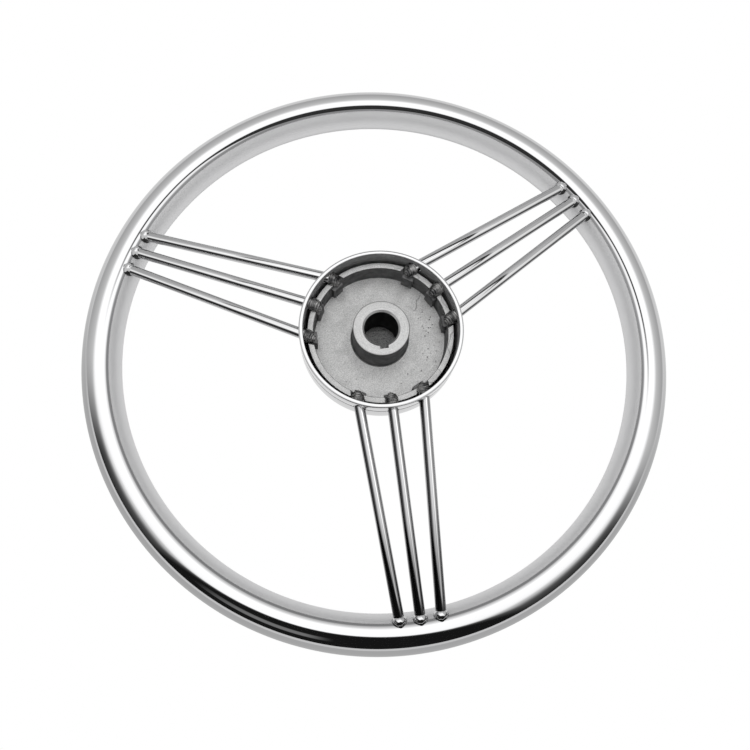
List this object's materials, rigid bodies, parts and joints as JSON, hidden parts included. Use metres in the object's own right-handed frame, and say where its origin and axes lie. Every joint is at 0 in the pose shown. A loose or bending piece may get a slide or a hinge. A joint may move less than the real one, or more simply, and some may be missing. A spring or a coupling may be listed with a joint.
{
  "type": "ship steering wheel",
  "caption": "Dished stainless boat steering wheel: tube rim, rod spokes in three groups, keyed shaft hub with polished shells and a pull-off centre cap.",
  "frame": {"origin": "on the wheel's axis, in the plane that the rim rests on when the wheel lies face down", "axes": "+Z along the shaft axis from the face towards the helm, +Y opposite the keyway and the bottom spoke group"},
  "size_m": [0.35, 0.35, 0.058],
  "materials": {
    "polished_stainless": "mirror polish",
    "cast_stainless": "blasted casting, machined boss",
    "weld_metal": "rippled, as welded",
    "seal_rubber": "matt"
  },
  "bodies": {
    "wheel": {"rim_tube": "polished_stainless", "spoke_right_upper": "polished_stainless", "spoke_right_middle": "polished_stainless", "spoke_right_lower": "polished_stainless", "spoke_left_upper": "polished_stainless", "spoke_left_middle": "polished_stainless", "spoke_left_lower": "polished_stainless", "spoke_bottom_left": "polished_stainless", "spoke_bottom_middle": "polished_stainless", "spoke_bottom_right": "polished_stainless", "rim_welds_right": "polished_stainless", "rim_welds_left": "polished_stainless", "rim_welds_bottom": "polished_stainless", "hub_welds_right": "weld_metal", "hub_welds_left": "weld_metal", "hub_welds_bottom": "weld_metal", "hub_casting": "cast_stainless", "hub_rear_shell": "polished_stainless", "hub_front_shell": "polished_stainless"},
    "cap": {"centre_cap": "polished_stainless", "cap_o_ring": "seal_rubber"}
  },
  "joints": [
    {"name": "cap_pull", "type": "slide", "parent": "wheel", "child": "cap", "axis": [0, 0, -1], "range_m": [0, 0.012]}
  ]
}
